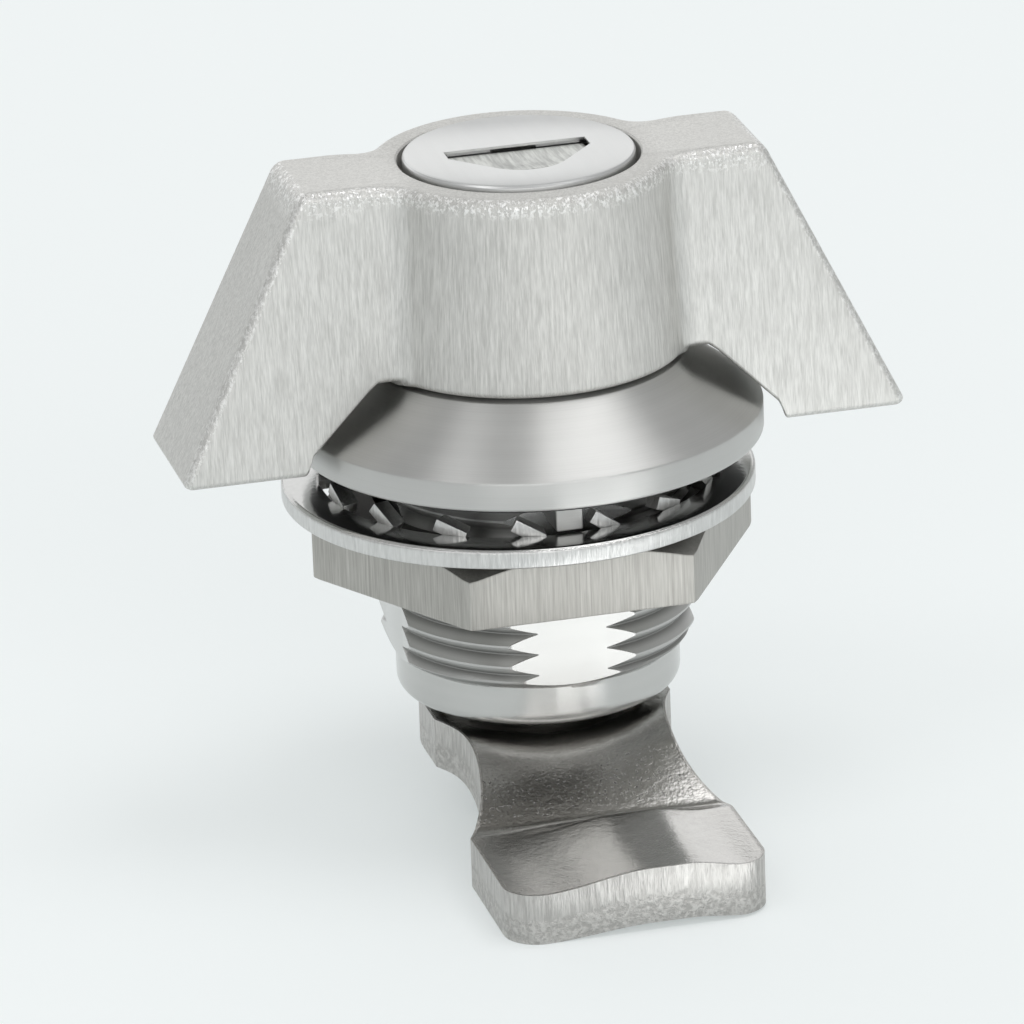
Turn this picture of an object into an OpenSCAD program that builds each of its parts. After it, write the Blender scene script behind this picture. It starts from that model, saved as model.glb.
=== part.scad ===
// Quarter-turn cam latch with a lockable wing handle, for a panel or cabinet door.
// Origin: centre of the flange's underside, where it meets the panel. +Z runs along the barrel towards the
// handle, X runs along the wings, and the cam points towards -Y. Millimetres, shown latched and unlocked.

/* [Barrel] */
// Outside diameter of the barrel's thread
thread_d = 21.9; // [21.4:0.1:22.4]
// Pitch of the thread
thread_pitch = 1.5; // [1:0.25:2]
// Length of the thread below the flange
thread_len = 15; // [13.5:0.5:24]
// Length of the plain end below the thread
tip_len = 3; // [2.6:0.1:5]
// Diameter of the plain end
tip_d = 19.55; // [19:0.05:19.8]
// Width of the barrel across opposite flats
flats_w = 19.8; // [19.6:0.1:20.4]

/* [Flange] */
// Diameter of the flange
flange_d = 32; // [31:0.5:36]
// Height of the flange's straight rim
rim_h = 2; // [1.5:0.1:2.6]
// Diameter at the top of the flange's cone
cone_top_d = 21.6; // [20:0.1:23]
// Height of the flange above the panel
flange_h = 5.8; // [5.4:0.1:7]
// Width of the panel gasket's ring
gasket_w = 2.8; // [2.2:0.1:3]
// Thickness of the panel gasket
gasket_t = 1.1; // [0.9:0.1:1.5]
// Width of the lug that keeps the barrel from turning in the panel
lug_w = 1.9; // [1.5:0.1:2]
// Length of the lug below the flange
lug_h = 2.4; // [2:0.05:2.45]
// Distance from the axis to the front of the lug
lug_reach = 13.55; // [12.5:0.05:13.6]

/* [Wing handle] */
// Length across both wings at their lower ends
handle_len = 50; // [44:0.5:60]
// Length across both wings at the top
handle_top_len = 31.4; // [27:0.1:40]
// Height of the handle's top above the panel
handle_top_z = 20; // [19.5:0.5:24]
// Height of the wings' lower ends above the panel
wing_low_z = 0.55; // [0.4:0.05:1.5]
// Thickness of a wing at the top
wing_t_top = 8.5; // [7:0.1:10]
// Thickness of a wing at its lower end
wing_t_low = 11.1; // [9:0.1:12]
// Diameter of the hub at the top
hub_d_top = 20.4; // [19.6:0.1:22]
// Diameter of the hub at its foot
hub_d_foot = 22; // [20:0.1:24]
// Slope of the recess that clears the flange, from the level
recess_angle = 46; // [42:1:50]
// Diameter of the boss that turns in the barrel
boss_d = 15.6; // [15:0.1:16]
// Length of the boss below the panel face
boss_below = 3.5; // [3.3:0.1:4.5]

/* [Spindle and cam] */
// Diameter of the spindle
spindle_d = 10; // [9.4:0.1:10.4]
// Diameter of the spindle's stub in the boss
stub_d = 9; // [8:0.1:9.4]
// Length of the spindle's stub
stub_len = 4.5; // [4:0.1:4.7]
// Width of the spindle's square end
square_w = 8; // [7:0.1:8.6]
// Gap between the barrel's end and the cam
cam_gap = 0.7; // [0.5:0.1:2]
// Thickness of the cam
cam_t = 3.5; // [3:0.1:4.5]
// Reach of the cam from the axis to its nose
cam_reach = 26.8; // [24:0.1:45]
// Width of the cam's nose
cam_w = 18; // [17:0.5:20]
// Diameter of the cam's round root
cam_root_d = 16.7; // [16:0.1:17.5]
// Width of the cam's neck
cam_neck_w = 13.8; // [12:0.1:14.5]
// How far the nose lies below the root
cam_drop = 3.9; // [2:0.1:6]
// Distance from the axis to the start of the cam's bend
bend_start = 8.2; // [7.5:0.1:9.5]
// Distance from the axis to the end of the cam's bend
bend_end = 15.5; // [14.5:0.1:17]
// Rise of the rib along the nose
rib_rise = 0.9; // [0.4:0.1:1.2]
// Diameter of the cam bolt's thread
cam_bolt_d = 5; // [4:0.5:5]

/* [Nut and toothed washer] */
// Width of the nut across its flats
nut_af = 27; // [26:0.5:30]
// Height of the nut
nut_h = 4.9; // [4:0.1:6]
// Outside diameter of the toothed washer
washer_d = 32.4; // [31:0.2:35]
// Inside diameter of the toothed washer's ring
washer_inner_d = 27.2; // [27:0.2:28.4]
// Thickness of the toothed washer
washer_t = 1.35; // [1:0.05:1.6]
// Space between the flange and the washer's ring
panel_gap = 2.5; // [2.4:0.1:5]
// How far the loose washer hangs to the side
washer_shift = 0.9; // [0:0.1:1]
// Number of teeth
tooth_count = 16; // [10:1:18]
// Width of a tooth
tooth_w = 2.3; // [1.8:0.1:2.3]
// Thickness of a tooth
tooth_t = 0.9; // [0.8:0.1:1.2]
// Twist of a tooth out of the ring's plane
tooth_twist = 30; // [20:1:40]

/* [Lock] */
// Diameter of the lock plug
plug_d = 16; // [15.4:0.1:16.4]
// Depth of the plug's bore in the hub
plug_depth = 12.6; // [12.3:0.1:13]
// Width of the key opening along its straight edge
window_w = 9.8; // [9:0.1:10.2]
// Radius of the key opening's round front
window_r = 3.1; // [2.8:0.1:3.2]
// Distance of the opening's straight edge behind the plug's centre
window_y = 1.2; // [1:0.1:1.3]
// Thickness of the plug's face cap
cap_t = 0.4; // [0.3:0.05:0.5]
// Number of wafer tumblers
wafer_count = 3; // [2:1:3]
// Thickness of a wafer tumbler
wafer_t = 0.7; // [0.5:0.05:0.75]
// Diameter of the plug's tail
tail_d = 5.2; // [5:0.1:5.4]
// Diameter of the lock bolt
bolt_d = 3.2; // [2.8:0.1:3.3]
// Distance of the crank pin from the plug's axis
crank_r = 1.5; // [1.3:0.05:1.6]
// Diameter of the crank pin
crank_pin_d = 1.4; // [1.2:0.1:1.5]

/* [Hidden] */
$fn = 96;

// Clearances
run = 0.05;          // a shaft that turns in its bore
seat = 0.02;         // a pin or part seated in its hole
loose = 0.3;         // faces that pass each other
eps = 0.01;          // overlap of solids that are one piece
far = 100;           // longer than any cut needs
over = 1;            // how far a cut runs past a face

// Barrel and flange
thread_r = thread_d / 2;
thread_depth = 0.6134 * thread_pitch;
root_r = thread_r - thread_depth;
tip_r = tip_d / 2;
tip_round = 1;
barrel_len = thread_len + tip_len;
flange_r = flange_d / 2;
cone_top_r = cone_top_d / 2;
rim_land = 0.8;
gasket_outer_r = flange_r - rim_land;
gasket_inner_r = gasket_outer_r - gasket_w;
gasket_proud = 0.3;
gasket_seat_z = gasket_t - gasket_proud;
flat_count = 4;
lug_x = -0.75;
flat_half_w = sqrt(thread_r * thread_r - flats_w * flats_w / 4) + over;
boss_r = boss_d / 2;
boss_bore_r = boss_r + run;
floor_z = -boss_below - loose;
spindle_r = spindle_d / 2;
seat_depth = 2.4;
seat_w = 2.2;
seat_r = spindle_r + seat_w;

// Handle
hub_foot_z = flange_h + loose;
wing_under_z = hub_foot_z + loose;
recess_clear = 0.85;
recess_wall = 1.2;
hub_r_top = hub_d_top / 2;
hub_r_foot = hub_d_foot / 2;
edge_chamfer = 0.6;
hub_taper = (hub_r_foot - hub_r_top) / (handle_top_z - edge_chamfer - hub_foot_z);
stub_r = stub_d / 2;
o_ring_wire = 0.62;
o_ring_rise = 2.9;
o_ring_z = -boss_below + o_ring_rise;
o_groove_r = boss_r - 2 * o_ring_wire;
cross_pin_r = 0.75;
stop_pin_r = 0.85;
stop_r = (stub_r + boss_r) / 2;
stop_pin_top = floor_z + 1.7;
stop_pin_depth = 3;
stop_pin_low = floor_z - stop_pin_depth;
stop_angle = 315;
quarter = 90;
stop_swing = quarter + 2 * (asin((stop_pin_r + run) / stop_r) + 1);

// Spindle end, ring, cam and cam bolt
ring_t = 0.8;
thrust_t = 0.4;
ring_groove_r = spindle_r - 0.7;
thrust_z = -barrel_len + seat_depth - run;
ring_z = thrust_z - thrust_t;
ring_r = seat_r - 0.6;
cam_z = -barrel_len - cam_gap;
waist_back = 2.6;
waist_past = 0.3;
cam_waist_y = (bend_start + bend_end) / 2 - waist_back;
bend_angle = atan2(cam_drop, bend_end - bend_start);
bend_shift = cam_t * tan(bend_angle / 2);
square_len = cam_t - loose;
cam_bolt_r = cam_bolt_d / 2;
cam_bolt_head_lap = 2;
cam_bolt_head_r = cam_bolt_r + cam_bolt_head_lap;
cam_bolt_head_h = 2.3;
cam_bolt_len = 9;
spring_washer_lap = 0.5;
spring_washer_r = cam_bolt_head_r + spring_washer_lap;
spring_washer_t = 1.2;
split_lean = 25;
split_w = 0.6;
nose_round = 2.4;

// Nut and washer
washer_top_z = -panel_gap;
nut_top_z = washer_top_z - washer_t;
nut_corner_r = nut_af / 2 / cos(30);
nut_chamfer = 1.4;
tooth_clear = 0.6;
tooth_lap = 0.6;
tooth_tip_r = thread_r + washer_shift + tooth_clear;
tooth_rise = 0.24;
tooth_mid_z = washer_top_z + tooth_rise;
tooth_phase = -90 - 180 / tooth_count;

// Lock
plug_r = plug_d / 2;
plug_bore_r = plug_r + run;
plug_floor_z = handle_top_z - plug_depth;
plug_low_z = plug_floor_z + loose;
plug_face_z = handle_top_z + 0.1;
cap_low_z = plug_face_z - cap_t;
cap_r = plug_r - 0.1;
cap_skirt_r = cap_r - 0.45;
cap_skirt_z = cap_low_z - 1.2;
mouth_r = plug_r + 0.25;
mouth_z = cap_skirt_z - 0.2;
tail_r = tail_d / 2;
bolt_r = bolt_d / 2;
bolt_z = flange_h - bolt_r - 0.9;
bolt_out = boss_r - loose;
bolt_in = 3;
bolt_travel = 2 * crank_r * sin(45);
bolt_bore_r = bolt_r + run;
pocket_r = bolt_r + 0.15;
crank_pin_r = crank_pin_d / 2;
crank_clear = 0.1;
crank_angle = 225;
tail_low_z = bolt_z + bolt_r + 0.25;
crank_low_z = bolt_z - 0.6;
tail_bore_low_z = crank_low_z - loose;
retain_pin_r = 0.9;
retain_groove = 0.9;
key_slot_w = window_w - 0.6;
key_slot_t = 1.4;
key_slot_y = window_y - key_slot_t / 2 - 0.05;
window_end_h = 1.5;
window_end_y = window_y - window_end_h;
window_centre_back = 2.5;
window_centre_y = window_y - window_centre_back;
wafer_pitch = 1.05;
wafer_first_z = plug_low_z + 1.55;
wafer_w = 6;
wafer_r = plug_r - 0.15;
wafer_slot_clear = 0.08;
ear_w = 1;
ear_y = wafer_w / 2 + 1.4;
coil_r = 0.33;
coil_wire = 0.09;
coil_len = 2.6;
shutter_top = cap_low_z - run;
shutter_t = 0.45;
shutter_lap = 0.3;
knuckle_r = 0.85;
shutter_pin_r = 0.34;
hinge_y = window_y + shutter_lap + 0.25;
hinge_z = shutter_top - knuckle_r;
shutter_pin_half = window_w / 2 + 1.2;
shutter_reach = hinge_y - window_centre_y + window_r + shutter_lap;
pocket_half_w = window_w / 2 + shutter_lap + 0.25;
pocket_low_z = hinge_z - shutter_reach - 0.1;
knuckle_half = window_w / 2 - 0.3;
spring_half = 1.5;
retain_z = cap_skirt_z - retain_pin_r - 0.5;
retain_pin_end = hub_r_foot - (retain_z - hub_foot_z) * hub_taper - 0.2;

// A round bar along an axis from one height to another
module bar(r, low, high) {
    translate([0, 0, low]) cylinder(r = r, h = high - low);
}

// A flat ring between two heights
module ring(r_out, r_in, low, high) {
    difference() {
        bar(r_out, low, high);
        bar(r_in, low - over, high + over);
    }
}

// A round bar along X
module bar_x(r, x0, x1) {
    translate([x0, 0, 0]) rotate([0, 90, 0]) cylinder(r = r, h = x1 - x0);
}

// A round bar along Y
module bar_y(r, y0, y1) {
    translate([0, y0, 0]) rotate([-90, 0, 0]) cylinder(r = r, h = y1 - y0);
}

// A tube swept along points, for the small wire springs
function unit(v) = v / norm(v);
function path_dir(p, i) = unit(p[min(i + 1, len(p) - 1)] - p[max(i - 1, 0)]);
module wire(path, r, sides = 5) {
    last = len(path) - 1;
    points = [
        for (i = [0:last])
            let (t = path_dir(path, i), n = unit(cross(t, [1, 0, 0])), b = cross(t, n))
                for (j = [0:sides - 1])
                    path[i] + r * (cos(360 * j / sides) * n + sin(360 * j / sides) * b)
    ];
    walls = [
        for (i = [0:last - 1], j = [0:sides - 1])
            let (a = i * sides + j, b = i * sides + (j + 1) % sides)
                [a, a + sides, b + sides, b]
    ];
    caps = [[for (j = [0:sides - 1]) j], [for (j = [sides - 1:-1:0]) last * sides + j]];
    polyhedron(points = points, faces = concat(walls, caps));
}
function coil(r, length, turns, steps = 8) = [
    for (i = [0:turns * steps])
        [length * i / (turns * steps), r * cos(360 * i / steps), r * sin(360 * i / steps)]
];

// Section of the barrel and flange on one side of the axis
function thread_tooth(z) = [
    [thread_r, z],
    [thread_r, z - thread_pitch / 8],
    [root_r, z - thread_pitch * 7 / 16],
    [root_r, z - thread_pitch * 11 / 16]
];
function housing_section() = concat(
    [[0, flange_h], [cone_top_r, flange_h], [flange_r, rim_h], [flange_r, 0]],
    [[gasket_outer_r + seat, 0], [gasket_outer_r + seat, gasket_seat_z], [thread_r, gasket_seat_z]],
    [for (k = [0:floor(thread_len / thread_pitch) - 1]) each thread_tooth(-k * thread_pitch)],
    [[tip_r, -thread_len]],
    [for (a = [0:15:90]) [tip_r - tip_round * (1 - cos(a)), -barrel_len + tip_round * (1 - sin(a))]],
    [[0, -barrel_len]]
);

// The lug under the flange, grown sideways for the notch that takes it
module lug(grow) {
    translate([lug_x - lug_w / 2 - grow, -lug_reach - grow, -lug_h])
        cube([lug_w + 2 * grow, lug_reach + grow - boss_r - over, lug_h + gasket_seat_z + eps]);
}

module housing() {
    color("silver") difference() {
        union() {
            difference() {
                rotate_extrude() polygon(housing_section());
                for (k = [0:flat_count - 1])
                    rotate(360 * k / flat_count)
                        translate([flats_w / 2, -flat_half_w, gasket_seat_z - far])
                            cube([thread_r - flats_w / 2 + over, 2 * flat_half_w, far]);
            }
            lug(0);
        }
        bar(boss_bore_r, floor_z, flange_h + over);
        bar(spindle_r + run, -barrel_len - over, floor_z + over);
        bar(seat_r, -barrel_len - over, -barrel_len + seat_depth);
        rotate(stop_angle) translate([stop_r, 0, 0]) bar(stop_pin_r + seat, stop_pin_low, floor_z + over);
        for (turn = [0, quarter])
            rotate(turn) translate([0, 0, bolt_z])
                bar_y(pocket_r, boss_r - over, bolt_out + bolt_travel + loose);
    }
}

module panel_gasket() {
    color("dimgray") difference() {
        ring(gasket_outer_r, gasket_inner_r, -gasket_proud, gasket_seat_z);
        lug(run);
    }
}

module stop_pin() {
    color("gray") rotate(stop_angle) translate([stop_r, 0, 0]) bar(stop_pin_r, stop_pin_low, stop_pin_top);
}

// The washer's ring with teeth bent in and twisted, loose on the barrel
module toothed_washer() {
    root = washer_inner_d / 2;
    tooth_len = root - tooth_tip_r + tooth_lap;
    color("lightgray") translate([-washer_shift, 0, 0]) {
        ring(washer_d / 2, root, nut_top_z, washer_top_z);
        difference() {
            for (k = [0:tooth_count - 1])
                rotate(360 * k / tooth_count + tooth_phase)
                    translate([tooth_tip_r + tooth_len / 2, 0, tooth_mid_z])
                        rotate([-tooth_twist, 0, 0]) cube([tooth_len, tooth_w, tooth_t], center = true);
            ring(washer_d, root - seat, washer_top_z - eps, flange_h);
        }
    }
}

// Thin hexagon nut, chamfered at the top
module hex_nut() {
    color("darkgray") difference() {
        intersection() {
            translate([0, 0, nut_top_z - nut_h]) cylinder(r = nut_corner_r, h = nut_h, $fn = 6);
            rotate_extrude() polygon([
                [0, nut_top_z],
                [nut_corner_r - nut_chamfer * 1.73, nut_top_z],
                [nut_corner_r + 1, nut_top_z - nut_chamfer - 0.58],
                [nut_corner_r + 1, nut_top_z - nut_h],
                [0, nut_top_z - nut_h]
            ]);
        }
        bar(thread_r + run, nut_top_z - nut_h - over, nut_top_z + over);
    }
}

// Both wings: a trapezium from the front, thicker at the foot, with a turned recess that clears the
// flange's cone and a straight wall round its rim
module wings() {
    recess_run = 1 / tan(recess_angle);
    recess_low = wing_low_z - 1;
    recess_r = flange_r + recess_clear;
    wall_r = flange_r + recess_wall;
    difference() {
        intersection() {
            rotate([90, 0, 0]) linear_extrude(far, center = true) polygon([
                [-handle_len / 2, wing_low_z],
                [handle_len / 2, wing_low_z],
                [handle_top_len / 2, handle_top_z],
                [-handle_top_len / 2, handle_top_z]
            ]);
            rotate([90, 0, 90]) linear_extrude(far, center = true) polygon([
                [-wing_t_low / 2, wing_low_z],
                [wing_t_low / 2, wing_low_z],
                [wing_t_top / 2, handle_top_z],
                [-wing_t_top / 2, handle_top_z]
            ]);
        }
        rotate_extrude() polygon([
            [0, recess_low],
            [wall_r, recess_low],
            [wall_r, rim_h - (wall_r - recess_r) / recess_run],
            [recess_r + (rim_h - wing_under_z) * recess_run, wing_under_z],
            [0, wing_under_z]
        ]);
    }
}

module wing_handle() {
    color("gainsboro") difference() {
        union() {
            wings();
            rotate_extrude() polygon([
                [0, hub_foot_z],
                [hub_r_foot, hub_foot_z],
                [hub_r_top, handle_top_z - edge_chamfer],
                [hub_r_top - edge_chamfer, handle_top_z],
                [0, handle_top_z]
            ]);
            bar(boss_r, -boss_below, hub_foot_z + eps);
        }
        bar(plug_bore_r, plug_floor_z, handle_top_z + over);
        bar(mouth_r, mouth_z, handle_top_z + over);
        bar(tail_r + run, tail_bore_low_z, plug_floor_z + over);
        translate([0, 0, bolt_z]) bar_y(bolt_bore_r, -bolt_in - loose, boss_r + over);
        bar(stub_r + seat, -boss_below - over, -boss_below + stub_len + seat);
        translate([0, 0, o_ring_z]) bar_x(cross_pin_r + seat, -boss_r, boss_r);
        ring(boss_r + over, o_groove_r, o_ring_z - o_ring_wire - run, o_ring_z + o_ring_wire + run);
        rotate(stop_angle - quarter + (quarter - stop_swing) / 2) rotate_extrude(angle = stop_swing)
            translate([stop_r - stop_pin_r - run, -boss_below - over])
                square([2 * (stop_pin_r + run), over + boss_below + stop_pin_top + loose]);
        translate([0, 0, retain_z]) bar_y(retain_pin_r + seat, plug_r - over, hub_r_foot + over);
    }
}

// The spindle, with its stub in the boss, the groove for the ring and the square end for the cam
module drive_spindle() {
    color("silver") difference() {
        union() {
            bar(stub_r, -boss_below - eps, -boss_below + stub_len);
            bar(spindle_r, cam_z, -boss_below);
            intersection() {
                bar(spindle_r, cam_z - square_len, cam_z + eps);
                cube([square_w, square_w, far], center = true);
            }
        }
        ring(spindle_r + over, ring_groove_r, ring_z - ring_t - run, ring_z + run);
        translate([0, 0, o_ring_z]) bar_x(cross_pin_r + seat, -stub_r - over, stub_r + over);
        bar(cam_bolt_r + seat, cam_z - cam_t - over, cam_z - cam_t + cam_bolt_len + loose);
    }
}

module spindle_cross_pin() {
    color("gray") translate([0, 0, o_ring_z]) bar_x(cross_pin_r, 0.1 - o_groove_r, o_groove_r - 0.1);
}

module boss_o_ring() {
    color("dimgray") translate([0, 0, o_ring_z]) rotate_extrude()
        translate([o_groove_r + o_ring_wire, 0]) circle(o_ring_wire - seat, $fn = 32);
}

module thrust_washer() {
    color("goldenrod") ring(seat_r - 0.3, spindle_r + run, thrust_z - thrust_t, thrust_z);
}

// Open ring that snaps into the spindle's groove
module retaining_ring() {
    mouth = ring_groove_r * 0.9;
    color("gray") difference() {
        ring(ring_r, ring_groove_r + seat, ring_z - ring_t, ring_z);
        translate([0, -mouth / 2, ring_z - ring_t - over]) cube([far, mouth, ring_t + 2 * over]);
    }
}

// Plan of the cam: a round root and a broad nose with a waist between them
module cam_plan() {
    half = cam_w / 2;
    waist = half - cam_neck_w / 2;
    span = bend_end + waist_past - cam_waist_y;
    waist_r = (span * span + waist * waist) / (2 * waist);
    difference() {
        union() {
            circle(cam_root_d / 2);
            translate([-cam_root_d / 2, -cam_waist_y]) square([cam_root_d, cam_waist_y]);
            translate([-half, nose_round - cam_reach]) square([cam_w, cam_reach - nose_round - cam_waist_y]);
            translate([-half + nose_round, -cam_reach]) square([cam_w - 2 * nose_round, cam_reach]);
            for (side = [-1, 1])
                translate([side * (half - nose_round), -cam_reach + nose_round]) circle(nose_round);
        }
        for (side = [-1, 1])
            translate([side * (cam_neck_w / 2 + waist_r), -cam_waist_y]) circle(waist_r);
    }
}

// Side view of the cam, its reach along the first axis: level root, bend, level nose
module cam_side() {
    polygon([
        [-cam_w, cam_z],
        [bend_start, cam_z],
        [bend_end, cam_z - cam_drop],
        [cam_reach + over, cam_z - cam_drop],
        [cam_reach + over, cam_z - cam_drop - cam_t],
        [bend_end - bend_shift, cam_z - cam_drop - cam_t],
        [bend_start - bend_shift, cam_z - cam_t],
        [-cam_w, cam_z - cam_t]
    ]);
}

module cam() {
    rib_half = cam_w * 0.36;
    rib_r = (rib_half * rib_half + rib_rise * rib_rise) / (2 * rib_rise);
    nose_z = cam_z - cam_drop;
    arch = rib_rise * 0.55;
    arch_r = (rib_half * rib_half + arch * arch) / (2 * arch);
    color("darkgray") difference() {
        intersection() {
            translate([0, 0, -far]) linear_extrude(far) cam_plan();
            union() {
                rotate([90, 0, -90]) linear_extrude(far, center = true) cam_side();
                intersection() {
                    translate([0, 0, nose_z + rib_rise - rib_r]) bar_y(rib_r, -cam_reach - over, -bend_end);
                    translate([-far / 2, -far, nose_z - cam_t / 2]) cube(far);
                }
            }
        }
        translate([0, 0, nose_z - cam_t + arch - arch_r]) bar_y(arch_r, -cam_reach - over, -bend_end);
        intersection() {
            bar(spindle_r + run, cam_z - cam_t - over, cam_z + over);
            cube([square_w + 2 * run, square_w + 2 * run, far], center = true);
        }
    }
}

// Split spring washer under the bolt's head
module cam_spring_washer() {
    color("gray") difference() {
        ring(spring_washer_r, cam_bolt_r + run, cam_z - cam_t - spring_washer_t, cam_z - cam_t);
        rotate([split_lean, 0, 0]) translate([0, cam_z * sin(split_lean) - split_w / 2, -far / 2])
            cube([far, split_w, far]);
    }
}

// Low-head bolt with a hexagon socket
module cam_bolt() {
    head_top = cam_z - cam_t - spring_washer_t;
    color("silver") difference() {
        union() {
            bar(cam_bolt_r, head_top - eps, cam_z - cam_t + cam_bolt_len);
            bar(cam_bolt_head_r, head_top - cam_bolt_head_h, head_top);
        }
        translate([0, 0, head_top - cam_bolt_head_h - over])
            cylinder(r = cam_bolt_r * 0.9, h = over + cam_bolt_head_h * 0.7, $fn = 6);
    }
}

module plug_retaining_pin() {
    color("gray") translate([0, 0, retain_z])
        bar_y(retain_pin_r, plug_r - retain_groove + loose, retain_pin_end);
}

// Outline of the key opening: a slot for the key and a round front, grown by a margin
module window_outline(grow = 0) {
    half = window_w / 2 + grow;
    back = window_y + grow - window_centre_y;
    end = window_end_y - window_centre_y;
    r = window_r + grow;
    touch = atan2(half, end) + acos(r / norm([half, end]));
    inner = 0.85 * r * [sin(touch), cos(touch)];
    translate([0, window_centre_y]) intersection() {
        union() {
            circle(r);
            polygon([
                [-half, back],
                [half, back],
                [half, end],
                inner,
                [-inner.x, inner.y],
                [-half, end]
            ]);
        }
        translate([-far / 2, -far]) square([far, far + back]);
    }
}

// One wafer: a plate with a window for the key and an ear for its spring
module wafer() {
    difference() {
        union() {
            intersection() {
                bar(wafer_r, -wafer_t / 2, wafer_t / 2);
                translate([0, key_slot_y, 0]) cube([far, wafer_w, wafer_t], center = true);
            }
            translate([0, key_slot_y + wafer_w / 2 - eps, -wafer_t / 2])
                cube([ear_w, ear_y - wafer_w / 2, wafer_t]);
        }
        translate([0, key_slot_y, 0]) cube([key_slot_w, key_slot_t, 2 * wafer_t], center = true);
    }
}

function wafer_z(k) = wafer_first_z + k * wafer_pitch;

module wafer_tumblers() {
    color("goldenrod") for (k = [0:wafer_count - 1]) translate([0, 0, wafer_z(k)]) wafer();
}

module wafer_springs() {
    color("gray") for (k = [0:wafer_count - 1])
        translate([-coil_len - coil_wire - 0.05, key_slot_y + wafer_w / 2 + 0.75, wafer_z(k)])
            wire(coil(coil_r, coil_len, 4), coil_wire);
}

// The plug: key slot, wafer slots, shutter pocket, tail and crank pin
module lock_plug() {
    slot_t = wafer_t + 2 * wafer_slot_clear;
    slot_w = wafer_w + 2 * wafer_slot_clear;
    spring_y = key_slot_y + wafer_w / 2 + 0.75;
    color("silver") difference() {
        union() {
            bar(plug_r, plug_low_z, cap_skirt_z);
            bar(cap_skirt_r - seat, cap_skirt_z - eps, cap_low_z);
            bar(tail_r, tail_low_z, plug_low_z + eps);
            rotate(crank_angle) translate([crank_r, 0, 0]) bar(crank_pin_r, crank_low_z, tail_low_z + eps);
        }
        translate([-key_slot_w / 2, key_slot_y - key_slot_t / 2, plug_low_z + 1])
            cube([key_slot_w, key_slot_t, far]);
        for (k = [0:wafer_count - 1]) translate([0, 0, wafer_z(k)]) {
            translate([0, key_slot_y, 0]) cube([far, slot_w, slot_t], center = true);
            translate([-0.05, key_slot_y, -slot_t / 2]) cube([ear_w + 0.8, ear_y + 0.1, slot_t]);
            translate([0, spring_y, 0]) bar_x(coil_r + coil_wire + 0.06, -coil_len - 0.3, 0);
        }
        translate([0, 0, pocket_low_z]) linear_extrude(far) union() {
            window_outline(shutter_lap + 0.25);
            translate([-pocket_half_w, 0]) square([2 * pocket_half_w, hinge_y + knuckle_r + 0.15]);
        }
        translate([0, hinge_y, hinge_z]) bar_x(shutter_pin_r + seat, -shutter_pin_half, shutter_pin_half);
        translate([0, 0, retain_z])
            ring(plug_r + over, plug_r - retain_groove, -retain_pin_r - run, retain_pin_r + run);
    }
}

// Face cap pressed over the plug's head, with the key opening
module plug_cap() {
    chamfer = 0.3;
    color("gainsboro") difference() {
        rotate_extrude() polygon([
            [0, plug_face_z],
            [cap_r - chamfer, plug_face_z],
            [cap_r, plug_face_z - chamfer],
            [cap_r, cap_skirt_z],
            [cap_skirt_r, cap_skirt_z],
            [cap_skirt_r, cap_low_z],
            [0, cap_low_z]
        ]);
        linear_extrude(far) window_outline();
    }
}

module shutter_pin() {
    color("gray") translate([0, hinge_y, hinge_z]) bar_x(shutter_pin_r, -shutter_pin_half, shutter_pin_half);
}

// Torsion spring around the shutter's pin, between the knuckles
module shutter_spring() {
    mean_r = shutter_pin_r + coil_wire + 0.03;
    color("gray") translate([-spring_half + 0.2, hinge_y, hinge_z])
        wire(coil(mean_r, 2 * spring_half - 0.4, 6, 10), coil_wire);
}

// Flap that closes the key opening from below, with two knuckles on the pin
module key_shutter() {
    color("lightgray") difference() {
        union() {
            translate([0, 0, shutter_top - shutter_t]) linear_extrude(shutter_t) window_outline(shutter_lap);
            for (side = [-1, 1]) {
                low = side < 0 ? -knuckle_half : spring_half + 0.1;
                high = side < 0 ? -spring_half - 0.1 : knuckle_half;
                translate([0, hinge_y, hinge_z]) bar_x(knuckle_r, low, high);
                translate([low, window_y, shutter_top - shutter_t])
                    cube([high - low, hinge_y - window_y, shutter_t]);
            }
        }
        translate([0, hinge_y, hinge_z]) bar_x(shutter_pin_r + run, -far, far);
        translate([-spring_half - 0.1, window_y + 0.12, hinge_z - 2 * knuckle_r])
            cube([2 * spring_half + 0.2, 4 * knuckle_r, 4 * knuckle_r]);
    }
}

// Round bolt with a cross slot for the crank pin
module lock_bolt() {
    slot = 2 * (crank_pin_r + crank_clear);
    pin_y = crank_r * sin(crank_angle);
    color("silver") translate([0, 0, bolt_z]) difference() {
        bar_y(bolt_r, -bolt_in, bolt_out);
        translate([-far, pin_y - slot / 2, -far / 2]) cube([far + 0.1, slot, far]);
    }
}

housing();
panel_gasket();
stop_pin();
toothed_washer();
hex_nut();
wing_handle();
drive_spindle();
spindle_cross_pin();
boss_o_ring();
thrust_washer();
retaining_ring();
cam();
cam_spring_washer();
cam_bolt();
plug_retaining_pin();
lock_plug();
plug_cap();
wafer_tumblers();
wafer_springs();
shutter_pin();
shutter_spring();
key_shutter();
lock_bolt();
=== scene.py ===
import math

import bmesh
import bpy
from mathutils import Matrix, Vector


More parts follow.
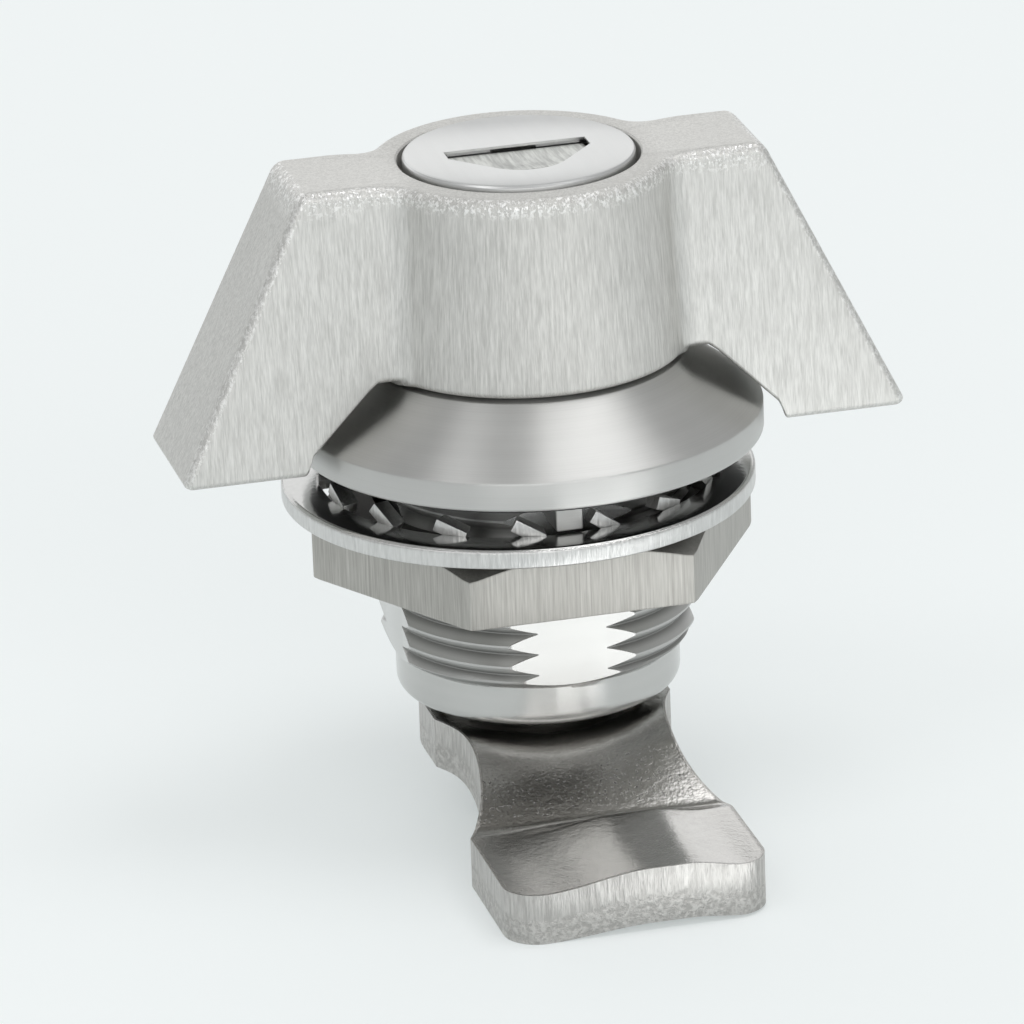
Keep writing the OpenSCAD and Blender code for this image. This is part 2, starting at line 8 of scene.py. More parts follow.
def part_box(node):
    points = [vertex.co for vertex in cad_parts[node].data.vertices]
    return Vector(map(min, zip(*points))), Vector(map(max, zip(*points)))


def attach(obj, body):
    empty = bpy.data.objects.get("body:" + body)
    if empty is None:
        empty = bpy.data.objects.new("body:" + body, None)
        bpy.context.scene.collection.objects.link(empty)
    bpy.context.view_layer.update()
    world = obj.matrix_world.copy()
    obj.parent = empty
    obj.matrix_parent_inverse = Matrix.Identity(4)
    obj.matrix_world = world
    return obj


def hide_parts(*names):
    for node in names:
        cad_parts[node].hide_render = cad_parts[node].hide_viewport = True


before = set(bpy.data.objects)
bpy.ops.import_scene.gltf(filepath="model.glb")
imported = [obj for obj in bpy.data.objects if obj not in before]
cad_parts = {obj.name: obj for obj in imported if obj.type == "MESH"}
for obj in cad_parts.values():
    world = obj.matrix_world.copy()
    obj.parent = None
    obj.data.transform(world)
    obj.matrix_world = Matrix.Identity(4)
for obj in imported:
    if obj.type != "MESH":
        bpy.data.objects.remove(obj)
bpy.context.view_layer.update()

MM = 0.001
TURN_STEPS = 240

# Sizes in millimetres, in the part's own frame
FLANGE_R, RIM_H, CONE_TOP_R, FLANGE_H = 16.0, 2.0, 10.8, 5.8
GASKET_SEAT_R, GASKET_SEAT_Z = 15.22, 0.8
THREAD_R, THREAD_PITCH, THREAD_DEPTH, THREAD_LEN = 10.95, 1.5, 0.64, 15.0
CREST_END, ROOT_START, ROOT_END, RUN_OUT = 0.1, 0.52, 0.58, 1.3
TIP_R, BARREL_LEN, TIP_ROUND, JOIN_Z = 9.775, 18.0, 1.0, 1.2
FLAT_R, FLAT_COUNT = 10.03, 4
BOSS_BORE_R, SPINDLE_BORE_R, RING_SEAT_R, RING_SEAT_DEPTH, BOSS_FLOOR_Z = 7.85, 5.05, 7.2, 2.4, -3.8
LUG_X, LUG_W, LUG_H, LUG_REACH, LUG_BACK = -0.75, 1.9, 2.4, 13.55, 8.8
LUG_ROUND, LUG_SINK = 0.16, 0.2
POCKET_LOW_Z, POCKET_HIGH_Z, POCKET_HALF_ANGLE, POCKET_DEPTH = 1.55, 5.05, 13.0, 2.1

WING_LOW_Z, TOP_Z, UNDER_Z, FOOT_Z = 0.55, 20.0, 6.4, 6.1
WING_HALF_LOW, WING_HALF_TOP = 25.35, 16.0
WING_T_LOW, WING_T_TOP, WING_CORNER = 11.1, 8.5, 0.65
HUB_R_FOOT, HUB_R_TOP, HUB_FILLET = 11.0, 10.2, 2.2
HUB_DROP, HUB_DROP_IN, HUB_DROP_OUT = 0.2, 9.5, 13.0
HANDLE_EDGE_R, HANDLE_FOOT_R = 0.7, 0.5
RECESS_R, RECESS_SLOPE = 16.85, math.tan(math.radians(46))
WALL_R, WALL_SLOPE = 17.15, math.tan(math.radians(74))
WALL_TOP_ROUND, WALL_FOOT_ROUND, RECESS_ROUND = 0.12, 0.16, 0.25
MOUTH_R, MOUTH_Z, PLUG_BORE_R, PLUG_FLOOR_Z = 8.25, 18.3, 8.05, 7.4
TAIL_BORE_R, TAIL_FLOOR_Z = 2.65, 2.4
BOSS_R, BOSS_LOW_Z, STUB_R, STUB_TOP_Z = 7.8, -3.5, 4.52, 1.02

WASHER_R, WASHER_RING_R, WASHER_TOP_Z, WASHER_T, WASHER_SHIFT = 16.2, 13.6, -2.5, 1.35, 0.9
TOOTH_COUNT, TOOTH_W, TOOTH_T, TOOTH_TIP_R, TOOTH_TWIST = 16, 2.3, 0.9, 12.45, 30.0
TOOTH_MID_Z, TOOTH_PHASE, TOOTH_TAPER, TOOTH_ROUND = -2.26, -101.25, 0.86, 0.06
TOOTH_UNEVEN, TOOTH_WAVE = 9.0, 2.4
NUT_HALF_AF, NUT_TOP_Z, NUT_LOW_Z, NUT_BORE_R, NUT_CHAMFER_R = 13.5, -3.85, -8.75, 11.0, 13.2
NUT_TOP_EDGE, NUT_LOW_EDGE, NUT_CORNER_CUT, NUT_BORE_CHAMFER = 0.12, 0.15, 0.1, 0.5

CAM_TOP_Z, CAM_T, CAM_DROP = -18.7, 3.5, 3.9
CAM_HALF_W, CAM_ROOT_R, CAM_NECK_HALF, CAM_REACH, CAM_NOSE_ROUND = 9.0, 8.35, 6.9, 26.8, 2.4
BEND_START, BEND_END, CAM_WAIST_Y, CAM_WAIST_END = 8.2, 15.5, 9.25, 15.8
BEND_ROUND_TOP, BEND_ROUND_FOOT, CAM_EDGE_TOP, CAM_EDGE_LOW = 2.2, 0.45, 0.5, 0.25
RIB_RISE, RIB_ARCH, RIB_RIGHT_DROP = 0.9, 0.5, 0.65
RIB_LEFT_FOOT, RIB_LEFT_TOP, RIB_RIGHT_TOP, RIB_RIGHT_FOOT = -6.6, 0.6, 3.2, 7.4

CAP_R, CAP_CHAMFER, CAP_FACE_Z, CAP_T, CAP_SKIRT_R, CAP_SKIRT_Z = 7.9, 0.3, 20.1, 0.4, 7.45, 18.5
WINDOW_HALF_W, WINDOW_R, WINDOW_Y, WINDOW_END_Y, WINDOW_CENTRE_Y = 4.9, 3.1, 1.2, -0.3, -1.3
WINDOW_MIDDLE_Y = -0.6
FLAP_GAP, FLAP_BACK_Y, FLAP_T, FLAP_DROP, FLAP_SINK = 0.1, 0.85, 0.3, 0.06, 0.29
FLAP_HOLLOW, FLAP_HOLLOW_HALF_W = 0.16, 3.6
HINGE_Y, HINGE_Z, KNUCKLE_R, KNUCKLE_IN, KNUCKLE_OUT = 1.75, 18.8, 0.85, 1.6, 4.6
ARM_LEN, ARM_T, ARM_Y, ARM_RISE = 1.4, 0.3, 1.0, 0.55
FLOOR_GAP, CARD_LIFT = 0.02, 0.5


def lerp(a, b, t):
    return a + (b - a) * t


def smooth_ramp(u, half):
    """Zero below -half, u above half, and a parabola between them: a rounded bend in a straight line."""
    if u <= -half:
        return 0.0
    return u if u >= half else (u + half) ** 2 / (4 * half)


def smooth_step(low, high, u):
    t = min(1.0, max(0.0, (u - low) / (high - low)))
    return t * t * (3 - 2 * t)


def direction(azimuth, elevation):
    """The way from the object to a place round it, in degrees from the front and from the level."""
    a, e = math.radians(azimuth), math.radians(elevation)
    return Vector((math.sin(a) * math.cos(e), -math.cos(a) * math.cos(e), math.sin(e)))


# Finishes

class Socket:
    """An output of a material's node. Arithmetic on it adds Math nodes."""

    def __init__(self, tree, output):
        self.tree, self.output = tree, output

    def node(self, kind, settings=None, inputs=None, output=0):
        """Adds a node of that kind, with its settings first and then the values or links of its inputs."""
        made = self.tree.nodes.new(kind)
        for key, value in (settings or {}).items():
            setattr(made, key, value)
        for key, value in (inputs or {}).items():
            if isinstance(value, Socket):
                self.tree.links.new(value.output, made.inputs[key])
            else:
                made.inputs[key].default_value = value
        return Socket(self.tree, made.outputs[output] if made.outputs else None)

    def math(self, operation, first, second=0.0):
        return self.node("ShaderNodeMath", {"operation": operation}, {0: first, 1: second})

    def __add__(self, other):
        return self.math("ADD", self, other)

    def __sub__(self, other):
        return self.math("SUBTRACT", self, other)

    def __rsub__(self, other):
        return self.math("SUBTRACT", other, self)

    def __mul__(self, other):
        return self.math("MULTIPLY", self, other)

    def __pow__(self, other):
        return self.math("POWER", self, other)

    __radd__ = __add__
    __rmul__ = __mul__

    def between(self, low, high):
        """0 below low, 1 above high and a smooth rise between them."""
        return self.node("ShaderNodeMapRange", {"interpolation_type": "SMOOTHSTEP"},
                         {"Value": self, "From Min": low, "From Max": high})

    def noise(self, scale, detail=2.0, roughness=0.5):
        """Noise along this vector, with its own scale for each axis."""
        place = self.node("ShaderNodeMapping", None, {"Vector": self, "Scale": scale})
        return self.node("ShaderNodeTexNoise", None,
                         {"Vector": place, "Scale": 1.0, "Detail": detail, "Roughness": roughness})

    def mix(self, dark, light):
        """This value as the share of light over dark, both colours or colour sockets."""
        return self.node("ShaderNodeMix", {"data_type": "RGBA"}, {0: self, 6: dark, 7: light}, 2)


def start_finish(name):
    """A new material and its Object coordinates."""
    material = bpy.data.materials.new(name)
    material.use_nodes = True
    material.node_tree.nodes.clear()
    here = Socket(material.node_tree, None).node("ShaderNodeTexCoord", output=3)
    return material, here


def end_finish(here, colour, roughness, height, depth, strength=1.0, **constants):
    """The metal or rubber shader at the end of a material: height times depth is its relief in metres."""
    relief = here.node("ShaderNodeBump", None, {"Height": height, "Distance": depth, "Strength": strength})
    inputs = {"Base Color": colour, "Roughness": roughness, "Normal": relief, "Metallic": 1.0}
    inputs.update({key.replace("_", " "): value for key, value in constants.items()})
    shader = here.node("ShaderNodeBsdfPrincipled", None, inputs)
    here.node("ShaderNodeOutputMaterial", None, {"Surface": shader})


def attribute(here, name):
    """A value that the piece's own vertices carry, 0 where they carry none."""
    return here.node("ShaderNodeAttribute", {"attribute_name": name}, output=2)


def split(here):
    """The x, y and z of a place."""
    outputs = here.node("ShaderNodeSeparateXYZ", None, {"Vector": here}).output.node.outputs
    return [Socket(here.tree, output) for output in outputs]


def satin_steel():
    """Handle: satin brushed along its height, with linished, nicked edges that carry painted glints."""
    material, here = start_finish("satin_steel")
    grain = here.noise((5200, 5200, 170), 3.0, 0.65)
    hair = here.noise((14000, 14000, 600), 2.0, 0.5)
    cloud = here.noise((90, 90, 60), 2.0)
    worn_and_glint = attribute(here, "worn_and_glint")
    nicks_and_glints = here.noise((4200, 4200, 3000), 3.0, 0.75).between(0.48, 0.6) * worn_and_glint
    shade = grain.between(0.25, 0.75) * 0.5 + hair.between(0.3, 0.7) * 0.3 + cloud * 0.2
    brushed = shade.mix((0.50, 0.495, 0.475, 1), (0.82, 0.815, 0.79, 1))
    # Painted highlight: the nicked spots on the linished edges are coloured near white so that they glint.
    colour = nicks_and_glints.mix(brushed, (0.96, 0.955, 0.94, 1))
    x = split(here)[0]
    hub = 1 - x.math("ABSOLUTE", x).between(0.0075, 0.0095)
    roughness = 0.44 + grain * 0.12 + hub * 0.12 - nicks_and_glints * 0.16
    end_finish(here, colour, roughness, grain * 0.5 + hair * 0.35 + nicks_and_glints * 2.2, 0.00003, 0.5)
    return material


def turned_steel():
    """Flange and barrel: turned, with fine grooves round the axis, painted shade in the thread roots and
    polished flats.
    """
    material, here = start_finish("turned_steel")
    x, y, z = split(here)
    radius = (x * x + y * y) ** 0.5
    polished = attribute(here, "polished")
    round_place = here.node("ShaderNodeCombineXYZ", None, {"X": radius, "Y": z, "Z": 0.0})
    groove = round_place.noise((15000, 15000, 1), 2.0, 0.6) * (1 - polished * 0.7)
    band = round_place.noise((900, 900, 1), 2.0, 0.5)
    cloud = here.noise((260, 260, 260), 2.0)
    shade = groove * 0.4 + band * 0.35 + cloud * 0.25
    below_flange = 1 - z.between(-0.003, -0.002)
    above_tip = z.between(-(THREAD_LEN + 0.1) * MM, -(THREAD_LEN - 0.2) * MM)
    shaded_groove = 1 - radius.between((THREAD_R - 0.65) * MM, (THREAD_R - 0.15) * MM)
    # Painted shade: the thread roots between the crests are coloured dark.
    root = shaded_groove * above_tip * below_flange * (1 - polished)
    colour = root.mix(shade.mix((0.47, 0.47, 0.46, 1), (0.68, 0.68, 0.665, 1)), (0.29, 0.29, 0.28, 1))
    roughness = 0.33 + band * 0.08 + cloud * 0.04 - polished * 0.18
    end_finish(here, colour, roughness, groove * 0.6 + band * 0.4, 0.00001, 0.4,
               Anisotropic=0.86, Anisotropic_Rotation=0.25)
    return material


def washer_steel():
    """Toothed washer: bright faces, with a sheared rim and teeth marked across their edges."""
    material, here = start_finish("washer_steel")
    shear = here.noise((4200, 4200, 500), 3.0, 0.65)
    pebble = here.noise((2400, 2400, 2400), 3.0, 0.6)
    sheared = attribute(here, "sheared")
    mark = shear * sheared + pebble * (1 - sheared) * 0.3
    colour = mark.mix((0.46, 0.46, 0.45, 1), (0.80, 0.80, 0.79, 1))
    roughness = 0.12 + sheared * 0.18 + pebble * 0.06
    end_finish(here, colour, roughness, mark * 0.6 + shear * sheared, 0.00009, 0.6)
    return material


def nut_steel():
    """Nut: drawn bar with a fine grain along the height, a little warm, with painted shade on its top face
    and chamfered rim under the washer.
    """
    material, here = start_finish("nut_steel")
    grain = here.noise((6500, 6500, 120), 3.0, 0.7)
    hair = here.noise((11000, 11000, 500), 2.0, 0.5)
    cloud = here.noise((160, 160, 160), 2.0)
    shade = grain.between(0.28, 0.72) * 0.5 + hair.between(0.3, 0.7) * 0.25 + cloud * 0.25
    bright = shade.mix((0.31, 0.30, 0.28, 1), (0.58, 0.57, 0.54, 1))
    # Painted shade: the top face and chamfered rim, which sit under the washer, are coloured dark.
    colour = attribute(here, "chamfer").mix(bright, (0.16, 0.155, 0.145, 1))
    roughness = 0.42 + grain * 0.14
    end_finish(here, colour, roughness, grain * 0.6 + hair * 0.4, 0.00003, 0.5)
    return material


def tumbled_steel():
    """Cam: tumbled bright with a pitted bend, and sheared sides that are torn in their lower half."""
    material, here = start_finish("tumbled_steel")
    speckle = here.noise((5200, 5200, 5200), 3.0, 0.7)
    dents = here.noise((1300, 1300, 1300), 2.0, 0.5)
    shear = here.noise((3600, 3600, 420), 3.0, 0.65)
    grit = here.noise((2600, 2600, 2600), 3.0, 0.7)
    sheared = attribute(here, "sheared")
    torn = (attribute(here, "torn") + shear * 0.4).between(0.66, 0.76) * sheared
    pits = here.noise((4600, 4600, 4600), 2.0, 0.6).between(0.61, 0.70) * attribute(here, "pitted")
    cut = shear.between(0.3, 0.7) * (1 - torn) + grit.between(0.35, 0.65) * torn
    tone = (speckle * 0.6 + dents * 0.4) * (1 - sheared) + cut * sheared
    colour = pits.mix(tone.mix((0.43, 0.42, 0.405, 1), (0.60, 0.59, 0.57, 1)), (0.10, 0.095, 0.09, 1))
    roughness = 0.12 + speckle * 0.1 + sheared * 0.24 + torn * 0.08 + pits * 0.2
    relief = speckle * 0.35 + dents * 0.6 - pits * 0.5 + cut * sheared * 1.2
    end_finish(here, colour, roughness, relief, 0.00006, 0.6)
    return material


def plug_steel():
    """Lock plug, cap and flap: finely satined; the flap has streaks, and is darker with painted shade of its
    recess.
    """
    material, here = start_finish("plug_steel")
    fine = here.noise((9000, 9000, 9000), 2.0, 0.6)
    draw = here.noise((1400, 120, 120), 3.0, 0.6)
    cloud = here.noise((300, 300, 300), 2.0)
    plain = (fine * 0.3 + draw * 0.35 + cloud * 0.35).mix((0.57, 0.575, 0.57, 1), (0.72, 0.725, 0.715, 1))
    streak = here.noise((2600, 260, 260), 3.0, 0.7).between(0.3, 0.7)
    shaded_streaks = streak.mix((0.36, 0.365, 0.35, 1), (0.62, 0.63, 0.60, 1))
    # Painted shade: the flap's streaks are its own marks, and their darker tone stands for shade in its
    # recess.
    colour = attribute(here, "flap_shade").mix(plain, shaded_streaks)
    roughness = 0.3 + cloud * 0.08
    end_finish(here, colour, roughness, fine * 0.5 + draw * 0.5, 0.00001, 0.35)
    return material


def pin_steel():
    """Pins, spindle, bolts: ground bright steel."""
    material, here = start_finish("pin_steel")
    fine = here.noise((7000, 7000, 1600), 2.0, 0.6)
    cloud = here.noise((500, 500, 500), 2.0)
    colour = (fine * 0.5 + cloud * 0.5).mix((0.50, 0.50, 0.49, 1), (0.64, 0.64, 0.62, 1))
    end_finish(here, colour, 0.24 + cloud * 0.1, fine, 0.000012, 0.35)
    return material


def spring_steel():
    """Springs and rings: dark drawn wire."""
    material, here = start_finish("spring_steel")
    fine = here.noise((6000, 6000, 6000), 2.0, 0.6)
    cloud = here.noise((700, 700, 700), 2.0)
    colour = (fine * 0.4 + cloud * 0.6).mix((0.30, 0.295, 0.28, 1), (0.46, 0.45, 0.43, 1))
    end_finish(here, colour, 0.28 + cloud * 0.12, fine, 0.000012, 0.35)
    return material


def wafer_brass():
    """Wafers and thrust washer: stamped brass."""
    material, here = start_finish("wafer_brass")
    fine = here.noise((5000, 5000, 5000), 2.0, 0.6)
    cloud = here.noise((500, 500, 500), 2.0)
    colour = (fine * 0.3 + cloud * 0.7).mix((0.62, 0.45, 0.19, 1), (0.78, 0.60, 0.29, 1))
    end_finish(here, colour, 0.26 + cloud * 0.12, fine, 0.000012, 0.35)
    return material


def black_rubber():
    """Gasket and O-ring: matt moulded rubber."""
    material, here = start_finish("black_rubber")
    fine = here.noise((3200, 3200, 3200), 3.0, 0.6)
    cloud = here.noise((400, 400, 400), 2.0)
    colour = cloud.mix((0.012, 0.012, 0.012, 1), (0.03, 0.03, 0.029, 1))
    end_finish(here, colour, 0.62 + fine * 0.16, fine, 0.00003, 0.4, Metallic=0.0)
    return material


def floor_paper():
    """Floor: pale paper with a very slight mottle."""
    material, here = start_finish("floor_paper")
    mottle = here.noise((9, 9, 9), 3.0, 0.6)
    colour = mottle.mix((0.60, 0.615, 0.615, 1), (0.62, 0.63, 0.63, 1))
    camera, glossy, transmission = (here.node("ShaderNodeLightPath", output=k) for k in (0, 3, 6))
    glow = (camera + glossy + transmission).mix((0, 0, 0, 1), (0.32, 0.345, 0.345, 1))
    end_finish(here, colour, 0.9, mottle, 0.00001, 0.1, Metallic=0.0, Emission_Color=glow,
               Emission_Strength=1.0)
    return material


FINISHES = {make.__name__: make() for make in (
    satin_steel, turned_steel, washer_steel, nut_steel, tumbled_steel, plug_steel, pin_steel,
    spring_steel, wafer_brass, black_rubber, floor_paper)}


# Modelling helpers

def add_ring(bm, points):
    """New vertices at the points, in their order."""
    return [bm.verts.new(point) for point in points]


def skin(bm, rings):
    """Joins rings of equally many vertices with faces, each ring to the next."""
    for low, high in zip(rings, rings[1:]):
        for k in range(len(low)):
            j = (k + 1) % len(low)
            bm.faces.new((low[k], low[j], high[j], high[k]))


def turn(bm, profile, closed=True):
    """Turns a profile of (radius, height) points about the axis."""
    verts = [bm.verts.new((r, 0, z)) for r, z in profile]
    ends = verts[1:] + verts[:1] if closed else verts[1:]
    edges = [bm.edges.new(pair) for pair in zip(verts, ends)]
    bmesh.ops.spin(bm, geom=verts + edges, cent=(0, 0, 0), axis=(0, 0, 1), dvec=(0, 0, 0),
                   angle=math.tau, steps=TURN_STEPS, use_merge=True)


def rounded(profile, radii, steps=4):
    """A closed profile of (radius, height) points with its corners rounded by the given radii."""
    out = []
    for k in range(len(profile)):
        here, back, ahead = (Vector(profile[i % len(profile)]) for i in (k, k - 1, k + 1))
        if not radii[k]:
            out.append(tuple(here))
            continue
        u, v = (back - here).normalized(), (ahead - here).normalized()
        half = u.angle(v) / 2
        reach = radii[k] / math.tan(half)
        centre = here + (u + v).normalized() * (radii[k] / math.sin(half))
        first, last = here + u * reach - centre, here + v * reach - centre
        sweep = first.angle_signed(last)
        for step in range(steps + 1):
            out.append(tuple(centre + Matrix.Rotation(-sweep * step / steps, 2) @ first))
    return out


def finish_piece(bm, name, body, node, slot, crease=32):
    """Merges, scales to metres and hands the piece to its body in place of its CAD node."""
    bmesh.ops.remove_doubles(bm, verts=bm.verts, dist=1e-4)
    bmesh.ops.dissolve_degenerate(bm, edges=bm.edges, dist=1e-4)
    bmesh.ops.recalc_face_normals(bm, faces=bm.faces)
    bmesh.ops.scale(bm, vec=(MM, MM, MM), verts=bm.verts)
    for face in bm.faces:
        face.smooth = True
    for edge in bm.edges:
        edge.smooth = len(edge.link_faces) == 2 and edge.calc_face_angle(0.0) < math.radians(crease)
    mesh = bpy.data.meshes.new(name)
    bm.to_mesh(mesh)
    bm.free()
    piece = bpy.data.objects.new(name, mesh)
    bpy.context.scene.collection.objects.link(piece)
    mesh.materials.append(FINISHES[slot])
    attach(piece, body)
    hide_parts(node)


# Wing handle

def quarter_outline(half_len, half_t, hub_r, corner, fillet):
    """A quarter of the handle's plan, from the wing's end to the middle of the hub."""
    points = [(half_len, (half_t - corner) * k / 5) for k in range(5)]
    for k in range(7):
        a = math.radians(90 * k / 6)
        points.append((half_len - corner + corner * math.cos(a), half_t - corner + corner * math.sin(a)))
    fillet_x = math.sqrt((hub_r + fillet) ** 2 - (half_t + fillet) ** 2)
    across_wall = [0.535 + 0.0062 * k for k in range(22)]
    shares = sorted([k / 18 for k in range(1, 18)] + across_wall)
    points += [(lerp(half_len - corner, fillet_x, share), half_t) for share in shares]
    lean = math.atan2(half_t + fillet, fillet_x)
    for k in range(11):
        a = -math.pi / 2 - (math.pi / 2 - lean) * k / 10
        points.append((fillet_x + fillet * math.cos(a), half_t + fillet + fillet * math.sin(a)))
    for k in range(1, 17):
        a = lerp(lean, math.pi / 2, k / 16)
        points.append((hub_r * math.cos(a), hub_r * math.sin(a)))
    return points


def wing_share(z):
    """How far a height is up the wings, from 0 at their lower ends to 1 at the top."""
    return (z - WING_LOW_Z) / (TOP_Z - WING_LOW_Z)


def handle_outline(z, inset):
    """The handle's plan at a height, drawn in by inset."""
    t = wing_share(z)
    up = (z - FOOT_Z) / (TOP_Z - FOOT_Z)
    quarter = quarter_outline(
        lerp(WING_HALF_LOW, WING_HALF_TOP, t) - inset,
        lerp(WING_T_LOW, WING_T_TOP, t) / 2 - inset,
        lerp(HUB_R_FOOT, HUB_R_TOP, up) - inset,
        max(WING_CORNER - inset, 0.06), HUB_FILLET + inset)
    half = quarter + [(-x, y) for x, y in reversed(quarter)][1:]
    return half + [(x, -y) for x, y in reversed(half)][1:-1]


def under_z(radius):
    """Height of the handle's underside: the hub's foot, the recess, its wall and the wings' lower ends."""
    if radius < HUB_R_FOOT + 0.1:
        return FOOT_Z
    wall_z = RIM_H + (RECESS_R - WALL_R) * RECESS_SLOPE
    low_r = WALL_R + (wall_z - WING_LOW_Z) / WALL_SLOPE
    high_r = RECESS_R + (RIM_H - UNDER_Z) / RECESS_SLOPE
    wall = smooth_ramp(WALL_R - radius, WALL_TOP_ROUND)
    return (WING_LOW_Z + WALL_SLOPE * (smooth_ramp(low_r - radius, WALL_FOOT_ROUND) - wall)
            + RECESS_SLOPE * (wall - smooth_ramp(high_r - radius, RECESS_ROUND)))


def make_handle():
    bm = bmesh.new()
    worn_and_glint = bm.verts.layers.float.new("worn_and_glint")
    edge_r, foot_r = HANDLE_EDGE_R, HANDLE_FOOT_R

    def at(k, z, outline):
        """Point k of a drafted outline, given as its plans at the foot and at the top, at a height."""
        t = wing_share(z)
        (x0, y0), (x1, y1) = outline[0][k], outline[1][k]
        return lerp(x0, x1, t), lerp(y0, y1, t)

    def drafted(inset):
        return handle_outline(WING_LOW_Z, inset), handle_outline(TOP_Z, inset)

    plain = drafted(0.0)
    count = len(plain[0])
    angles = [math.atan2(y, x) for x, y in plain[1]]

    def level(radius, z):
        return add_ring(bm, [(radius * math.cos(a), radius * math.sin(a), z) for a in angles])

    rings = [level(0.0, TAIL_FLOOR_Z), level(TAIL_BORE_R, TAIL_FLOOR_Z), level(TAIL_BORE_R, PLUG_FLOOR_Z),
             level(PLUG_BORE_R, PLUG_FLOOR_Z), level(PLUG_BORE_R, MOUTH_Z), level(MOUTH_R, MOUTH_Z),
             level(MOUTH_R, TOP_Z - HUB_DROP - 0.12), level(MOUTH_R + 0.12, TOP_Z - HUB_DROP)]

    # Rounded top edge, from the top face out to the side
    for step in range(7):
        a = math.radians(90 - 15 * step)
        z, outline = TOP_Z - edge_r + edge_r * math.sin(a), drafted(edge_r * (1 - math.cos(a)))
        ring = add_ring(bm, [(*at(k, z, outline), z) for k in range(count)])
        for vert in ring:
            # The rounded top edge is linished and carries painted glints.
            vert[worn_and_glint] = 1.0 if 1 < step else 0.0
            vert.co.z -= HUB_DROP * (1 - smooth_step(HUB_DROP_IN, HUB_DROP_OUT, vert.co.xy.length))
        rings.append(ring)

    # Side, down to where the lower edge starts to round
    lows = []
    for k in range(count):
        z = UNDER_Z
        for _ in range(60):
            z = lerp(z, under_z(math.hypot(*at(k, z, plain))) + foot_r, 0.5)
        lows.append(z)
    side_steps = 14
    for step in range(1, side_steps + 1):
        heights = [lerp(TOP_Z - edge_r, low, step / side_steps) for low in lows]
        rings.append(add_ring(bm, [(*at(k, z, plain), z) for k, z in enumerate(heights)]))

    # Rounded lower edge
    for step in range(1, 6):
        inset = foot_r * (1 - math.cos(math.radians(18 * step)))
        rise = foot_r * (1 - math.sin(math.radians(18 * step)))
        outline, points = drafted(inset), []
        for k, low in enumerate(lows):
            x, y = at(k, low, outline)
            points.append((x, y, under_z(math.hypot(x, y)) + rise))
        rings.append(add_ring(bm, points))

    # Underside, in to the hub along rays
    reach = [math.hypot(v.co.x, v.co.y) for v in rings[-1]]
    spread = [math.atan2(v.co.y, v.co.x) for v in rings[-1]]
    down_wall = [17.6 - 0.06 * k for k in range(8)]
    for radius in (23, 21, 19.5, 18.6, 18.0, 17.7, *down_wall, 17.1, 17.0, 16.8, 16.4, 15.4, 14.4, 13.5,
                   13.1, 12.85, 12.6, 12.35, 12.0, 11.3, HUB_R_FOOT + 0.09):
        near = [(min(radius, r), a) for r, a in zip(reach, spread)]
        rings.append(add_ring(bm, [(r * math.cos(a), r * math.sin(a), under_z(r)) for r, a in near]))
    rings += [level(10.4, FOOT_Z), level(BOSS_R, FOOT_Z), level(BOSS_R, BOSS_LOW_Z),
              level(STUB_R, BOSS_LOW_Z), level(STUB_R, STUB_TOP_Z), level(0.0, STUB_TOP_Z)]
    skin(bm, rings)

    # The wings' end edges are linished like the top edge, and get the same painted glints
    band = 0.6
    for vert in bm.verts:
        x, y, z = vert.co
        from_end = lerp(WING_HALF_LOW, WING_HALF_TOP, wing_share(z)) - abs(x)
        from_side = lerp(WING_T_LOW, WING_T_TOP, wing_share(z)) / 2 - abs(y)
        if from_end < band and from_side < band and WING_LOW_Z < z < TOP_Z - edge_r:
            vert[worn_and_glint] = 0.6
    finish_piece(bm, "wing_handle_body", "handle", "wing_handle", "satin_steel")


# Housing: flange, threaded barrel with four flats, lug

